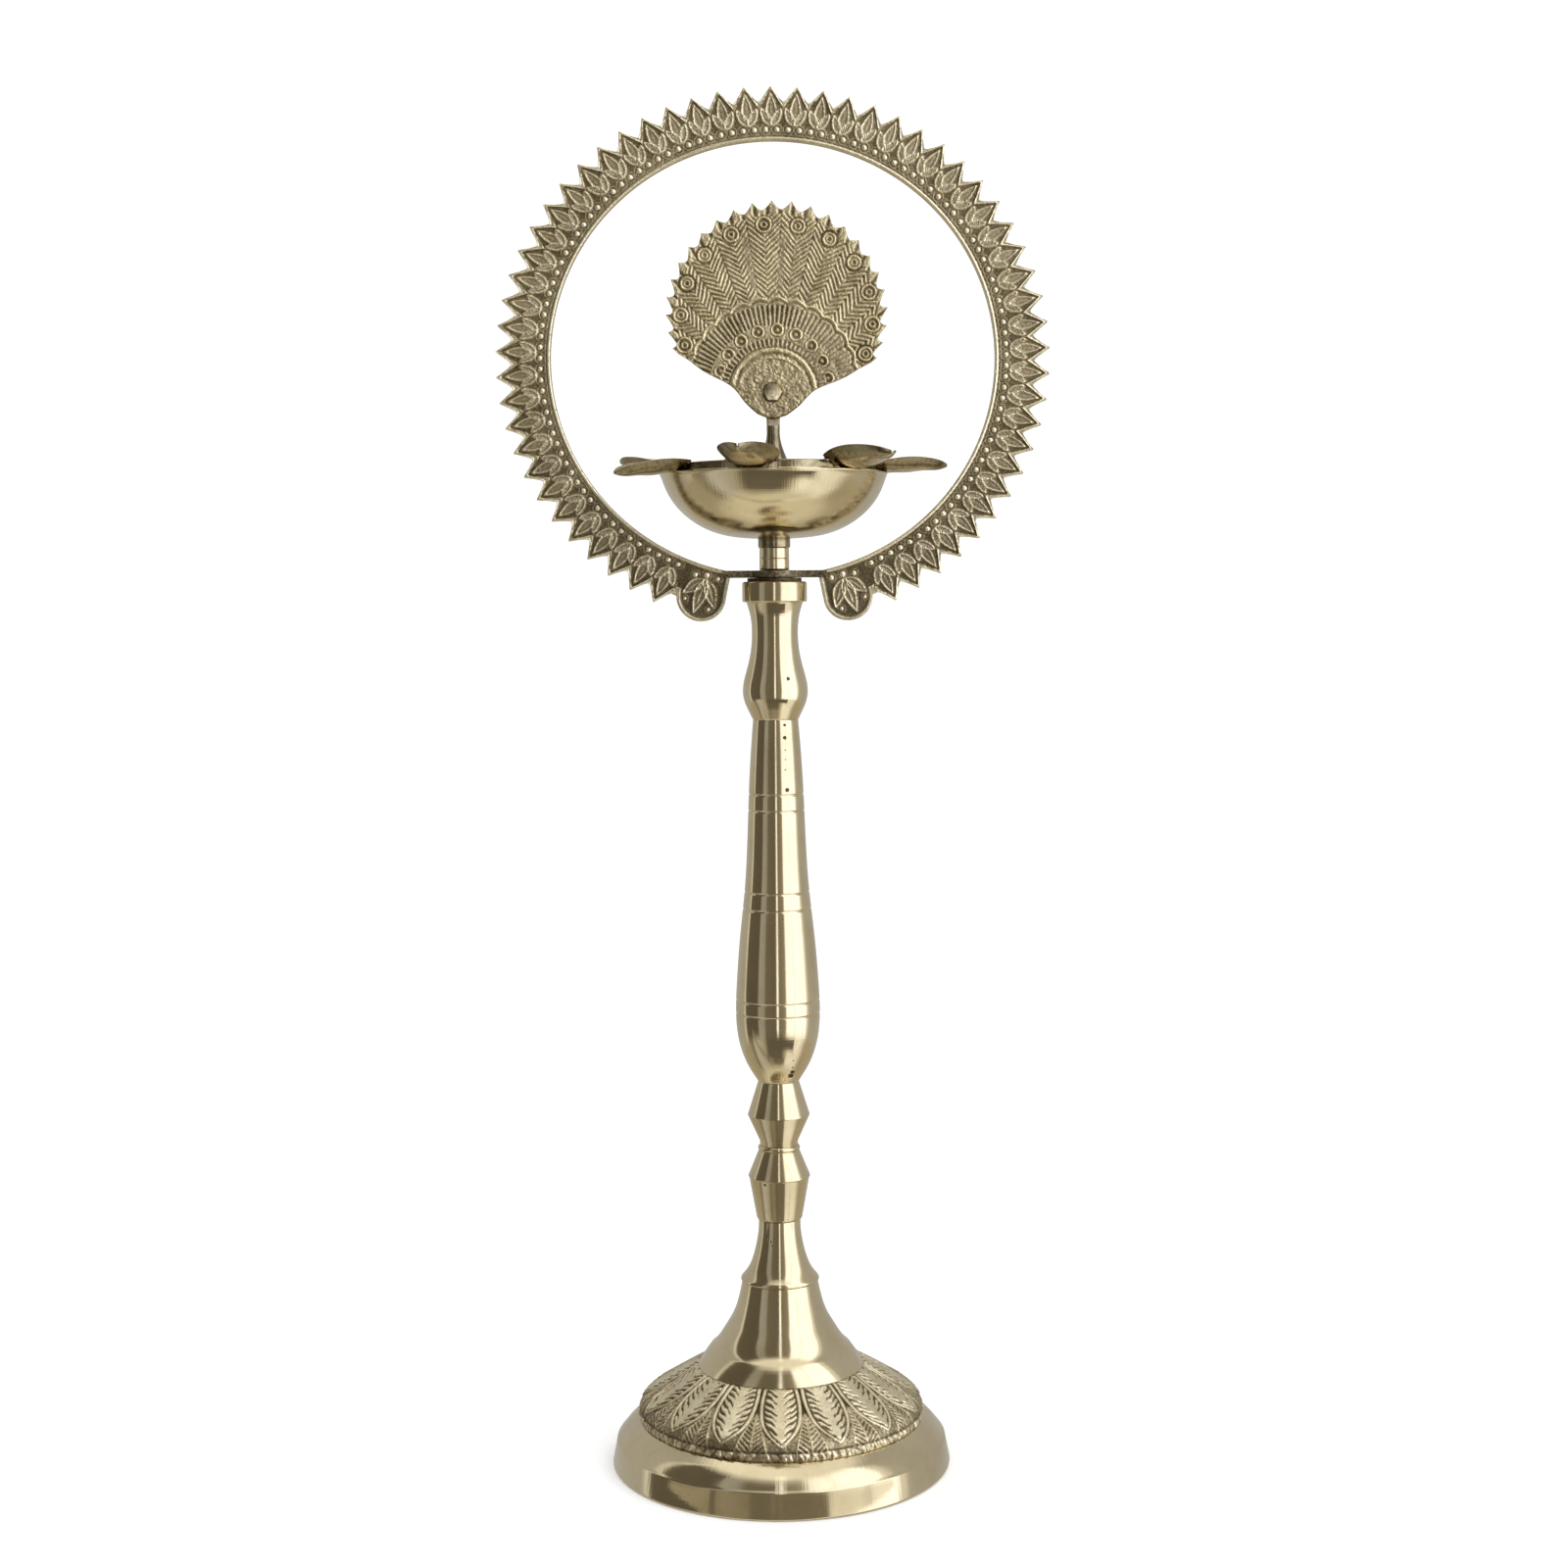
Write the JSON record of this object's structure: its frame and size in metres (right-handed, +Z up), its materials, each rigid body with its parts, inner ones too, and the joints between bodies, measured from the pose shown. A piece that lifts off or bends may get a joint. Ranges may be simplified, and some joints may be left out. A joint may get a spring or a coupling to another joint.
{
  "type": "standing oil lamp",
  "caption": "Standing brass oil lamp: domed base with leaf relief, turned column, oil bowl with wick spouts, toothed leaf halo and a peacock-tail finial.",
  "frame": {"origin": "on the floor, on the lamp's axis", "axes": "+Z up, the relief side of the halo and the clamp nut face -Y, +X to the right as seen from the front"},
  "size_m": [0.2432, 0.152, 0.61],
  "materials": {
    "polished_brass": "turned and polished, pale, slightly worn",
    "cast_brass": "sand-cast relief, satin high spots, dark patina in the hollows",
    "spout_brass": "hammered and brushed",
    "zinc_steel": "plain threaded rod and nut, hidden inside",
    "fastener_brass": "bright, slightly burred"
  },
  "bodies": {
    "stand": {"foot_flange": "polished_brass", "leaf_dome": "cast_brass", "bell_cone": "polished_brass", "neck_cone": "polished_brass", "lower_knop": "polished_brass", "upper_knop": "polished_brass", "long_baluster": "polished_brass", "top_baluster": "polished_brass", "column_tie_rod": "zinc_steel", "base_cup_washer": "zinc_steel", "base_nut": "zinc_steel", "top_stud": "zinc_steel", "strap_washer": "polished_brass"},
    "halo": {"halo_ring": "cast_brass", "halo_strap": "cast_brass"},
    "bowl": {"bowl_neck": "polished_brass", "oil_bowl": "polished_brass", "wick_spout_1": "spout_brass", "wick_spout_2": "spout_brass", "wick_spout_3": "spout_brass", "wick_spout_4": "spout_brass", "wick_spout_5": "spout_brass", "wick_spout_6": "spout_brass", "wick_spout_7": "spout_brass"},
    "finial": {"finial_stem": "polished_brass", "fan_bolt": "fastener_brass", "fan_nut": "fastener_brass"},
    "tail": {"tail_fan": "cast_brass"}
  },
  "joints": [
    {"name": "halo_turn", "type": "hinge", "parent": "stand", "child": "halo", "pos_m": [0, 0, 0.39875], "axis": [0, 0, 1], "continuous": true},
    {"name": "bowl_turn", "type": "hinge", "parent": "stand", "child": "bowl", "pos_m": [0, 0, 0.4155], "axis": [0, 0, 1], "continuous": true},
    {"name": "finial_turn", "type": "hinge", "parent": "stand", "child": "finial", "pos_m": [0, 0, 0.424], "axis": [0, 0, 1], "continuous": true},
    {"name": "tail_swing", "type": "hinge", "parent": "finial", "child": "tail", "pos_m": [0, -0.00155, 0.4778], "axis": [0, 1, 0], "range_deg": [-38, 32]}
  ]
}
